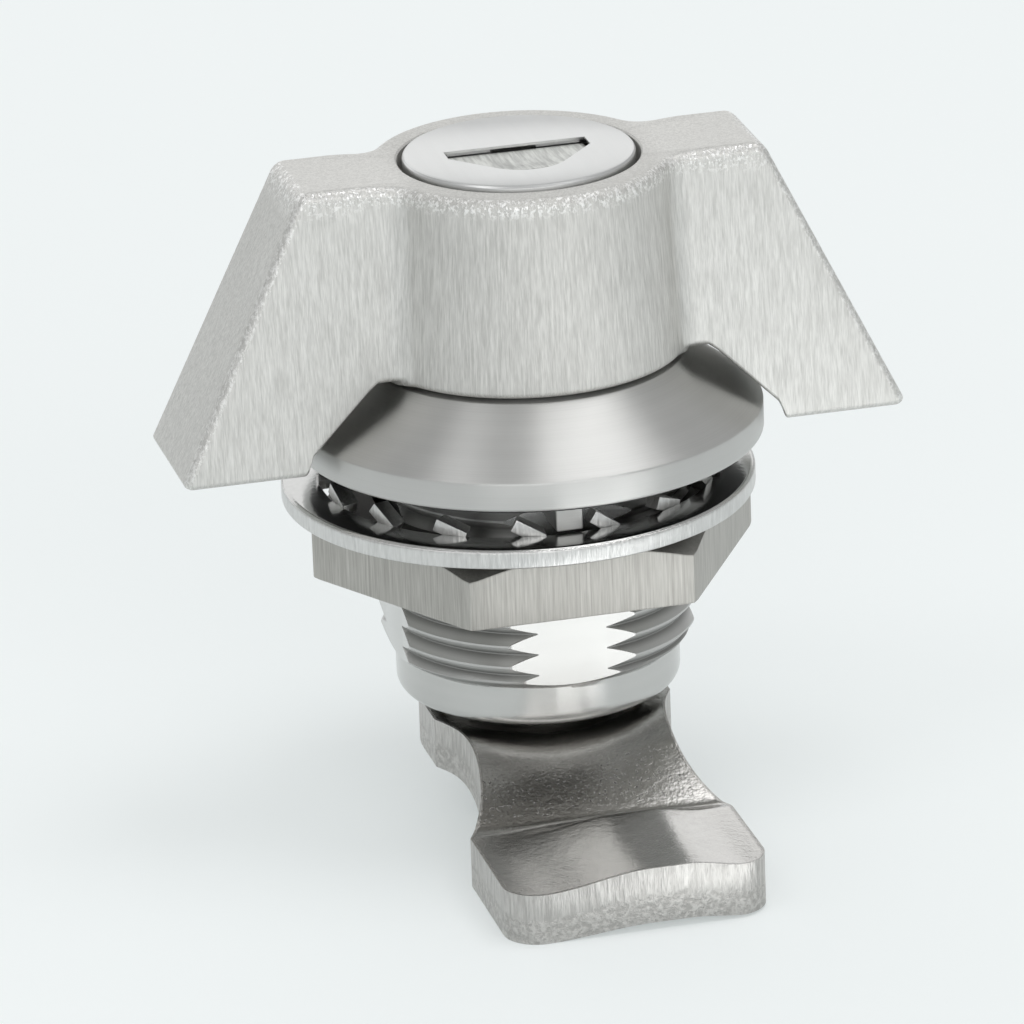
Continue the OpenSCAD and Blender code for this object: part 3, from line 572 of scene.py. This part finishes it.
def make_housing():
    bm = bmesh.new()
    polished = bm.verts.layers.float.new("polished")
    profile = [(BOSS_BORE_R, FLANGE_H), (CONE_TOP_R, FLANGE_H), (FLANGE_R, RIM_H), (FLANGE_R, 0.0),
               (GASKET_SEAT_R, 0.0), (GASKET_SEAT_R, GASKET_SEAT_Z), (BOSS_BORE_R, GASKET_SEAT_Z),
               (BOSS_BORE_R, POCKET_LOW_Z), (BOSS_BORE_R, POCKET_HIGH_Z)]
    turn(bm, rounded(profile, [0, 0.2, 0.25, 0.25, 0.1, 0, 0, 0, 0]))

    # Pockets in the bore that take the lock bolt, one for each end of the quarter turn
    for way in (Vector((0, 1, 0)), Vector((-1, 0, 0))):
        wall = []
        for face in bm.faces:
            middle = face.calc_center_median()
            across = Vector((middle.x, middle.y, 0))
            on_bore = across.length < BOSS_BORE_R + 0.01 and POCKET_LOW_Z < middle.z < POCKET_HIGH_Z
            if on_bore and across.angle(way) < math.radians(POCKET_HALF_ANGLE):
                wall.append(face)
        made = bmesh.ops.extrude_face_region(bm, geom=wall)
        back_wall = [v for v in made["geom"] if isinstance(v, bmesh.types.BMVert)]
        bmesh.ops.translate(bm, vec=way * POCKET_DEPTH, verts=back_wall)
        bmesh.ops.delete(bm, geom=wall, context="FACES")
    flange = set(bm.verts)

    # One helical surface for the thread, from above the flange's seat to below its last turn
    crest, root = THREAD_R, THREAD_R - THREAD_DEPTH
    quarters = (0.25, 0.5, 0.75)
    down_flank = [(lerp(crest, root, t), lerp(CREST_END, ROOT_START, t)) for t in quarters]
    up_flank = [(lerp(root, crest, t), lerp(ROOT_END, 1.0, t)) for t in quarters]
    knots = [(crest, 0.0), (crest, CREST_END), *down_flank, (root, ROOT_START), (root, ROOT_END), *up_flank]
    turns = int(THREAD_LEN / THREAD_PITCH) + 4
    start_z = 2.0 * THREAD_PITCH
    path = [(r, start_z - THREAD_PITCH * (k + share)) for k in range(turns) for r, share in knots]
    verts = [bm.verts.new((r, 0, z)) for r, z in path]
    edges = [bm.edges.new(pair) for pair in zip(verts, verts[1:])]
    bmesh.ops.spin(bm, geom=verts + edges, cent=(0, 0, 0), axis=(0, 0, 1), angle=math.tau, steps=TURN_STEPS,
                   dvec=(0, 0, -THREAD_PITCH / TURN_STEPS), use_merge=False)
    thread = [v for v in bm.verts if v not in flange]
    bmesh.ops.remove_doubles(bm, verts=thread, dist=1e-3)
    thread = [v for v in bm.verts if v not in flange]
    for vert in thread:
        limit = TIP_R + max(0.0, vert.co.z + THREAD_LEN) * RUN_OUT
        radius = math.hypot(vert.co.x, vert.co.y)
        if radius > limit:
            vert.co.x, vert.co.y = vert.co.x * limit / radius, vert.co.y * limit / radius

    def barrel_geometry():
        live = [v for v in bm.verts if v not in flange]
        edges = {e for v in live for e in v.link_edges}
        faces = {f for v in live for f in v.link_faces}
        return live + list(edges) + list(faces)

    tip_top = -BARREL_LEN + TIP_ROUND + 0.2
    for height, side in ((JOIN_Z, 1), (tip_top, -1)):
        bmesh.ops.bisect_plane(bm, geom=barrel_geometry(), dist=1e-5, plane_co=(0, 0, height),
                               plane_no=(0, 0, side), clear_outer=True)
    for k in range(FLAT_COUNT):
        a = math.tau * k / FLAT_COUNT
        normal = Vector((math.cos(a), math.sin(a), 0))
        cut = bmesh.ops.bisect_plane(bm, geom=barrel_geometry(), dist=1e-5, plane_co=normal * FLAT_R,
                                     plane_no=normal, clear_outer=True)
        rim = [e for e in cut["geom_cut"] if isinstance(e, bmesh.types.BMEdge)]
        for vert in {v for e in rim for v in e.verts}:
            vert[polished] = 1.0
        top = [v for e in rim for v in e.verts if v.co.z > JOIN_Z - 0.01]
        ends = sorted(set(top), key=lambda v: v.co.cross(normal).z)
        if len(ends) >= 2:
            rim.append(bm.edges.new((ends[0], ends[-1])))
        bmesh.ops.triangle_fill(bm, edges=rim, use_beauty=True, use_dissolve=False, normal=normal)

    # Plain end, ring seat and bores, closing the barrel
    end = -BARREL_LEN
    angles = [math.radians(10 * k) for k in range(10)]
    arc = [(TIP_R - TIP_ROUND * (1 - math.cos(a)), end + TIP_ROUND * (1 - math.sin(a))) for a in angles]
    tip = [(TIP_R, tip_top)] + arc + [
        (RING_SEAT_R + 0.15, end), (RING_SEAT_R, end + 0.15), (RING_SEAT_R, end + RING_SEAT_DEPTH),
        (SPINDLE_BORE_R, end + RING_SEAT_DEPTH), (SPINDLE_BORE_R, BOSS_FLOOR_Z), (BOSS_BORE_R, BOSS_FLOOR_Z),
        (BOSS_BORE_R, JOIN_Z)]
    turn(bm, tip, closed=False)
    for vert in bm.verts:
        vert[polished] = max(vert[polished], smooth_step(THREAD_LEN - 0.2, THREAD_LEN, -vert.co.z))

    # Lug under the flange
    lug = bmesh.ops.create_cube(bm, size=1.0)["verts"]
    height = LUG_H + GASKET_SEAT_Z + LUG_SINK
    bmesh.ops.scale(bm, vec=(LUG_W, LUG_REACH - LUG_BACK, height), verts=lug)
    bmesh.ops.translate(bm, vec=(LUG_X, -(LUG_REACH + LUG_BACK) / 2, height / 2 - LUG_H), verts=lug)
    bmesh.ops.bevel(bm, geom=list({e for v in lug for e in v.link_edges}), offset=LUG_ROUND,
                    offset_type="OFFSET", affect="EDGES", segments=3, profile=0.5, material=-1)
    finish_piece(bm, "housing_body", "barrel", "housing", "turned_steel", 28)


# Toothed washer and nut

def make_washer():
    bm = bmesh.new()
    sheared = bm.verts.layers.float.new("sheared")
    low_z = WASHER_TOP_Z - WASHER_T
    profile = [(WASHER_RING_R, WASHER_TOP_Z), (WASHER_R, WASHER_TOP_Z), (WASHER_R, low_z),
               (WASHER_RING_R, low_z)]
    turn(bm, rounded(profile, [0.12, 0.34, 0.16, 0.12]))
    for vert in bm.verts:
        vert[sheared] = 1.0 if math.hypot(vert.co.x, vert.co.y) > WASHER_R - 0.05 else 0.0
    length = WASHER_RING_R - TOOTH_TIP_R + 0.06
    for k in range(TOOTH_COUNT):
        tooth = bmesh.ops.create_cube(bm, size=1.0)["verts"]
        bmesh.ops.scale(bm, vec=(length, TOOTH_W, TOOTH_T), verts=tooth)
        for vert in tooth:
            vert[sheared] = 1.0
            if vert.co.x < 0:
                vert.co.y *= TOOTH_TAPER
        made = bmesh.ops.bevel(bm, geom=list({e for v in tooth for e in v.link_edges}), offset=TOOTH_ROUND,
                               offset_type="OFFSET", affect="EDGES", segments=2, profile=0.5, material=-1)
        tooth = list({v for f in made["faces"] for v in f.verts})
        twist = TOOTH_TWIST + TOOTH_UNEVEN * math.sin(TOOTH_WAVE * k)
        place = (Matrix.Rotation(math.radians(360 * k / TOOTH_COUNT + TOOTH_PHASE), 4, "Z")
                 @ Matrix.Translation((TOOTH_TIP_R + length / 2, 0, TOOTH_MID_Z))
                 @ Matrix.Rotation(math.radians(-twist), 4, "X"))
        bmesh.ops.transform(bm, matrix=place, verts=tooth)
    bmesh.ops.translate(bm, vec=(-WASHER_SHIFT, 0, 0), verts=bm.verts)
    finish_piece(bm, "toothed_washer_body", "washer", "toothed_washer", "washer_steel")


def make_nut():
    bm = bmesh.new()
    chamfer = bm.verts.layers.float.new("chamfer")
    corner_r = NUT_HALF_AF / math.cos(math.radians(30)) - NUT_CORNER_CUT
    angles = [math.tau * k / 180 for k in range(180)]

    def hexagon(inset):
        out = []
        for a in angles:
            lean = (a % (math.pi / 3)) - math.pi / 6
            out.append(min((NUT_HALF_AF - inset) / math.cos(lean), corner_r - inset))
        return out

    def level(radii, heights):
        places = zip(radii, angles, heights)
        return add_ring(bm, [(r * math.cos(a), r * math.sin(a), z) for r, a, z in places])

    def flat(z):
        return [z] * len(angles)

    bore = [NUT_BORE_R] * len(angles)
    full = hexagon(0.0)
    shoulder = [NUT_TOP_Z - 0.1 - max(0.0, r - NUT_CHAMFER_R) * math.tan(math.radians(30)) for r in full]
    rings = [level(bore, flat(NUT_TOP_Z)),
             level([min(r, NUT_CHAMFER_R) for r in hexagon(NUT_TOP_EDGE)], flat(NUT_TOP_Z)),
             level(full, shoulder),
             level(full, [z - NUT_TOP_EDGE for z in shoulder]),
             level(full, flat(NUT_LOW_Z + NUT_LOW_EDGE)),
             level(hexagon(0.04), flat(NUT_LOW_Z + 0.04)),
             level(hexagon(NUT_LOW_EDGE), flat(NUT_LOW_Z)),
             level([NUT_BORE_R + NUT_BORE_CHAMFER] * len(angles), flat(NUT_LOW_Z)),
             level(bore, flat(NUT_LOW_Z + NUT_BORE_CHAMFER))]
    # Painted shade: the top face and chamfered rim under the washer are marked to be coloured dark.
    for vert in rings[0] + rings[1]:
        vert[chamfer] = 1.0
    for vert in rings[2]:
        vert[chamfer] = 0.6
    skin(bm, rings + rings[:1])
    finish_piece(bm, "hex_nut_body", "nut", "hex_nut", "nut_steel", 20)


# Cam

def cam_height(x, y, shift, rise):
    """Height of the cam's top, or of its underside with its own shift of the bend and rise of the rib."""
    slope = CAM_DROP / (BEND_END - BEND_START)
    ahead = shift - y
    started = smooth_ramp(ahead - BEND_START, BEND_ROUND_TOP)
    ended = smooth_ramp(ahead - BEND_END, BEND_ROUND_FOOT)
    drop = slope * (started - ended)
    along = smooth_step(BEND_END - shift - 0.2, BEND_END - shift + 1.6, -y)
    left = smooth_step(RIB_LEFT_FOOT, RIB_LEFT_TOP, x)
    right = smooth_step(RIB_RIGHT_TOP, RIB_RIGHT_FOOT, x)
    return -drop + rise * along * (left - RIB_RIGHT_DROP * right)


def cam_half_width(y):
    """Half the cam's width at a distance in front of the axis, before its nose is rounded."""
    waist = CAM_HALF_W - CAM_NECK_HALF
    span = CAM_WAIST_END - CAM_WAIST_Y
    waist_r = (span * span + waist * waist) / (2 * waist)
    side = CAM_HALF_W if -y > CAM_WAIST_Y else CAM_ROOT_R
    if abs(-y - CAM_WAIST_Y) < span:
        side = min(side, CAM_NECK_HALF + waist_r - math.sqrt(waist_r ** 2 - (-y - CAM_WAIST_Y) ** 2))
    return side


def make_cam():
    bm = bmesh.new()
    sheared, torn, pitted = (bm.verts.layers.float.new(name) for name in ("sheared", "torn", "pitted"))
    across, along = 48, 150
    half_turn = math.radians(45)
    nose_y = -CAM_REACH + CAM_NOSE_ROUND
    nose_x = CAM_HALF_W - CAM_NOSE_ROUND
    corner = CAM_NOSE_ROUND * math.cos(half_turn)

    def nose(u):
        """The nose's edge from the middle of one rounded corner to the middle of the other."""
        arc = CAM_NOSE_ROUND * half_turn
        straight = 2 * nose_x
        s = u * (2 * arc + straight)
        if s < arc:
            a = half_turn + half_turn * s / arc
            return Vector((-nose_x - CAM_NOSE_ROUND * math.cos(a), nose_y - CAM_NOSE_ROUND * math.sin(a)))
        if s > arc + straight:
            mirrored = nose(1 - u)
            return Vector((-mirrored.x, mirrored.y))
        return Vector((-nose_x + s - arc, -CAM_REACH))

    def side(v):
        """The right edge from the nose's corner back to the root's round end."""
        y = lerp(nose_y - corner, CAM_ROOT_R * math.sin(half_turn), v)
        if y < nose_y:
            return Vector((nose_x + math.sqrt(max(0, CAM_NOSE_ROUND ** 2 - (nose_y - y) ** 2)), y))
        if y > 0:
            return Vector((math.sqrt(CAM_ROOT_R ** 2 - y * y), y))
        return Vector((cam_half_width(y), y))

    def root(u):
        """The root's round end from its left to its right."""
        a = math.radians(135) - math.radians(90) * u
        return Vector((CAM_ROOT_R * math.cos(a), CAM_ROOT_R * math.sin(a)))

    bmesh.ops.create_grid(bm, x_segments=across, y_segments=along, size=0.5)
    for vert in bm.verts:
        u, v = vert.co.x + 0.5, vert.co.y + 0.5
        right = side(v)
        left = Vector((-right.x, right.y))
        ends = (1 - v) * nose(u) + v * root(u)
        sides = (1 - u) * left + u * right
        corners = (1 - v) * ((1 - u) * nose(0) + u * nose(1)) + v * ((1 - u) * root(0) + u * root(1))
        vert.co.x, vert.co.y = ends + sides - corners
        vert.co.z = 0.0
    top = list(bm.verts)
    made = bmesh.ops.extrude_face_region(bm, geom=list(bm.faces))
    under = [v for v in made["geom"] if isinstance(v, bmesh.types.BMVert)]
    under_set = set(under)
    bend_lean = math.atan2(CAM_DROP, BEND_END - BEND_START)
    shift = CAM_T * math.tan(bend_lean / 2)
    for vert in top:
        vert.co.z = CAM_TOP_Z + cam_height(vert.co.x, vert.co.y, 0.0, RIB_RISE)
        vert[pitted] = (smooth_step(BEND_START + 1.5, BEND_START + 3.5, -vert.co.y)
                        * (1 - smooth_step(BEND_END - 1.5, BEND_END - 0.6, -vert.co.y)))
    for vert in under:
        vert.co.z = CAM_TOP_Z - CAM_T + cam_height(vert.co.x, vert.co.y, shift, RIB_ARCH)
        vert[torn] = 1.0
    bmesh.ops.recalc_face_normals(bm, faces=bm.faces)
    upright = [f for f in bm.faces if abs(f.normal.z) < 0.3]
    for face in upright:
        for vert in face.verts:
            vert[sheared] = 1.0
    rims = {True: set(), False: set()}
    for face in upright:
        for edge in face.edges:
            low = [v in under_set for v in edge.verts]
            if low[0] == low[1]:
                rims[low[0]].add(edge)
    for low, offset in ((False, CAM_EDGE_TOP), (True, CAM_EDGE_LOW)):
        rim = [e for e in rims[low] if e.is_valid]
        bmesh.ops.bevel(bm, geom=rim, offset=offset, offset_type="OFFSET", affect="EDGES", segments=3,
                        profile=0.5, material=-1, clamp_overlap=True)
    finish_piece(bm, "cam_body", "handle", "cam", "tumbled_steel")


# Plug's face cap and key flap

def window_points():
    """The key opening's outline, anticlockwise from the right end of its straight edge."""
    half, back, end = WINDOW_HALF_W, WINDOW_Y - WINDOW_CENTRE_Y, WINDOW_END_Y - WINDOW_CENTRE_Y
    touch = math.atan2(half, end) + math.acos(WINDOW_R / math.hypot(half, end))
    left = (-WINDOW_R * math.sin(touch), WINDOW_R * math.cos(touch))
    points = [(lerp(half, -half, k / 48), back) for k in range(48)]
    points += [(-half, lerp(back, end, k / 8)) for k in range(8)]
    points += [(lerp(-half, left[0], k / 14), lerp(end, left[1], k / 14)) for k in range(14)]
    points += [(WINDOW_R * math.sin(a), WINDOW_R * math.cos(a))
               for a in (lerp(-touch, touch - math.tau, k / 40) for k in range(40))]
    points += [(lerp(-left[0], half, k / 14), lerp(left[1], end, k / 14)) for k in range(14)]
    points += [(half, lerp(end, back, k / 8)) for k in range(8)]
    return [(x, y + WINDOW_CENTRE_Y) for x, y in points]


def make_cap():
    bm = bmesh.new()
    window = window_points()
    angles = [math.atan2(y - WINDOW_MIDDLE_Y, x) for x, y in window]

    def level(radius, z):
        return add_ring(bm, [(radius * math.cos(a), radius * math.sin(a), z) for a in angles])

    def opening(grow, z):
        return add_ring(bm, [(x * (1 + grow), y + grow * (y - WINDOW_MIDDLE_Y), z) for x, y in window])

    # The opening's wall is thin, and hollowed out below
    low_z = CAP_FACE_Z - CAP_T
    rings = [opening(0.09, low_z), opening(0.03, CAP_FACE_Z - 0.22), opening(0.0, CAP_FACE_Z - 0.18),
             opening(0.0, CAP_FACE_Z - 0.03), opening(0.012, CAP_FACE_Z),
             level(CAP_R - CAP_CHAMFER, CAP_FACE_Z), level(CAP_R - 0.14, CAP_FACE_Z - 0.06),
             level(CAP_R - 0.04, CAP_FACE_Z - 0.18),
             level(CAP_R, CAP_FACE_Z - 0.34), level(CAP_R, CAP_SKIRT_Z), level(CAP_SKIRT_R, CAP_SKIRT_Z),
             level(CAP_SKIRT_R, low_z)]
    skin(bm, rings + rings[:1])
    finish_piece(bm, "plug_face_cap", "plug", "plug_cap", "plug_steel", 25)


def make_flap():
    """The key flap: a hollowed plate that hangs from two knuckles behind the opening."""
    bm = bmesh.new()
    flap_shade = bm.verts.layers.float.new("flap_shade")
    window = window_points()

    def dish(x, y):
        """The plate sinks towards its straight edge, and its middle is hollow."""
        share = smooth_step(WINDOW_CENTRE_Y - WINDOW_R, FLAP_BACK_Y, y)
        hollow = FLAP_HOLLOW * max(0.0, 1 - (x / FLAP_HOLLOW_HALF_W) ** 2) * 4 * share * (1 - share)
        return CAP_FACE_Z - FLAP_DROP - FLAP_SINK * share - hollow

    def level(shrink, drop):
        points = []
        for x, y in window:
            x = x * (1 - shrink)
            y = min(WINDOW_MIDDLE_Y + (y - WINDOW_MIDDLE_Y) * (1 - shrink), FLAP_BACK_Y)
            points.append((x, y, dish(x, y) - drop))
        return add_ring(bm, points)

    edge = FLAP_GAP / WINDOW_R
    rings = [level(share, 0.0) for share in (1.0, 0.85, 0.7, 0.55, 0.4, 0.25, 0.12, edge + 0.02)]
    rings += [level(edge, 0.05), level(edge, FLAP_T), level(1.0, FLAP_T)]
    skin(bm, rings)
    # The whole flap is marked for its painted shade.
    for vert in bm.verts:
        vert[flap_shade] = 1.0
    for side in (-1, 1):
        knuckle = bmesh.ops.create_cone(bm, cap_ends=True, segments=48, radius1=KNUCKLE_R, radius2=KNUCKLE_R,
                                        depth=KNUCKLE_OUT - KNUCKLE_IN)["verts"]
        arm = bmesh.ops.create_cube(bm, size=1.0)["verts"]
        bmesh.ops.rotate(bm, verts=knuckle, cent=(0, 0, 0), matrix=Matrix.Rotation(math.pi / 2, 3, "Y"))
        middle = side * (KNUCKLE_IN + KNUCKLE_OUT) / 2
        bmesh.ops.translate(bm, vec=(middle, HINGE_Y, HINGE_Z), verts=knuckle)
        bmesh.ops.scale(bm, vec=(KNUCKLE_OUT - KNUCKLE_IN, ARM_LEN, ARM_T), verts=arm)
        bmesh.ops.translate(bm, vec=(middle, ARM_Y, HINGE_Z + ARM_RISE), verts=arm)
    finish_piece(bm, "key_flap", "shutter", "key_shutter", "plug_steel", 40)


make_handle()
make_housing()
make_washer()
make_nut()
make_cam()
make_cap()
make_flap()

# The hidden and small pieces keep their CAD solids
for finish, nodes in {
    "black_rubber": ("panel_gasket", "boss_o_ring"),
    "pin_steel": ("stop_pin", "spindle_cross_pin", "drive_spindle", "cam_bolt", "plug_retaining_pin",
                  "shutter_pin", "lock_bolt"),
    "spring_steel": ("retaining_ring", "cam_spring_washer", "wafer_springs", "shutter_spring"),
    "wafer_brass": ("thrust_washer", "wafer_tumblers"),
    "plug_steel": ("lock_plug",),
}.items():
    for node in nodes:
        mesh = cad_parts[node].data
        mesh.materials.clear()
        mesh.materials.append(FINISHES[finish])

# Floor, just under the cam
floor_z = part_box("cam")[0].z - FLOOR_GAP * MM
bm = bmesh.new()
bmesh.ops.create_grid(bm, x_segments=1, y_segments=1, size=4.0)
bmesh.ops.translate(bm, vec=(0, 0, floor_z), verts=bm.verts)
floor_mesh = bpy.data.meshes.new("floor")
bm.to_mesh(floor_mesh)
bm.free()
floor = bpy.data.objects.new("floor", floor_mesh)
floor_mesh.materials.append(FINISHES["floor_paper"])
bpy.context.scene.collection.objects.link(floor)

# Camera: a long lens, above and to the left of the front
AZIMUTH, ELEVATION, ROLL = -13.4792, 20.5225, math.radians(2.2566)
CAMERA_SHIFT = Vector((1.17906, -5.56612, 545.04595))
FOCAL_PIXELS, IMAGE_PIXELS, SENSOR_MM = 8000.0, 1024.0, 36.0
back = direction(AZIMUTH, ELEVATION)
level_right = (-back).cross(Vector((0, 0, 1))).normalized()
down = (-back).cross(level_right)
image_x = math.cos(ROLL) * level_right + math.sin(ROLL) * down
image_y = -math.sin(ROLL) * level_right + math.cos(ROLL) * down
axes = Matrix((image_x, image_y, -back))
lens = bpy.data.cameras.new("camera")
lens.sensor_fit, lens.sensor_width = "HORIZONTAL", SENSOR_MM
lens.lens = SENSOR_MM * FOCAL_PIXELS / IMAGE_PIXELS
lens.clip_start, lens.clip_end = 0.01, 20.0
camera = bpy.data.objects.new("camera", lens)
camera.matrix_world = Matrix.LocRotScale(
    -(axes.transposed() @ CAMERA_SHIFT) * MM, Matrix((image_x, -image_y, back)).transposed(), None)
bpy.context.scene.collection.objects.link(camera)
bpy.context.scene.camera = camera


# Soft studio light

def add_lamp(name, place, turned, width, height, radiance):
    """A rectangular soft light, unseen by the camera, with its sides in metres."""
    light = bpy.data.lights.new(name, "AREA")
    light.shape, light.size, light.size_y = "RECTANGLE", width, height
    light.energy = radiance * math.pi * width * height
    lamp = bpy.data.objects.new(name, light)
    lamp.matrix_world = Matrix.LocRotScale(place, turned, None)
    lamp.visible_camera = False
    bpy.context.scene.collection.objects.link(lamp)


def add_panel(name, azimuth, elevation, distance, width, height, radiance):
    """A panel that looks at the object from a way round it."""
    away = direction(azimuth, elevation)
    add_lamp(name, away * distance, away.to_track_quat("Z", "Y"), width, height, radiance)


def add_card(name, x, y, width, depth, radiance):
    """A bright card that lies on the floor in front of the object, in millimetres."""
    place = Vector((x * MM, y * MM, floor_z + CARD_LIFT * MM))
    add_lamp(name, place, Matrix.Rotation(math.pi, 3, "X"), width * MM, depth * MM, radiance)


add_panel("front_panel", -4, 25, 0.80, 0.95, 0.30, 1.85)
add_panel("top_panel", 80, 72, 0.90, 0.50, 0.50, 2.0)
add_panel("left_panel", -64, 56, 0.80, 0.25, 0.25, 1.8)
add_panel("back_panel", 180, 24, 1.00, 1.50, 0.60, 0.68)
add_card("near_card", 11, -45, 24, 28, 1.45)
add_card("right_card", 46, -69, 32, 26, 3.0)

world = bpy.data.worlds.new("studio")
bpy.context.scene.world = world
world.use_nodes = True
world.node_tree.nodes["Background"].inputs["Color"].default_value = (0.985, 0.995, 1.0, 1)
world.node_tree.nodes["Background"].inputs["Strength"].default_value = 0.55
bpy.context.scene.view_settings.view_transform = "Standard"
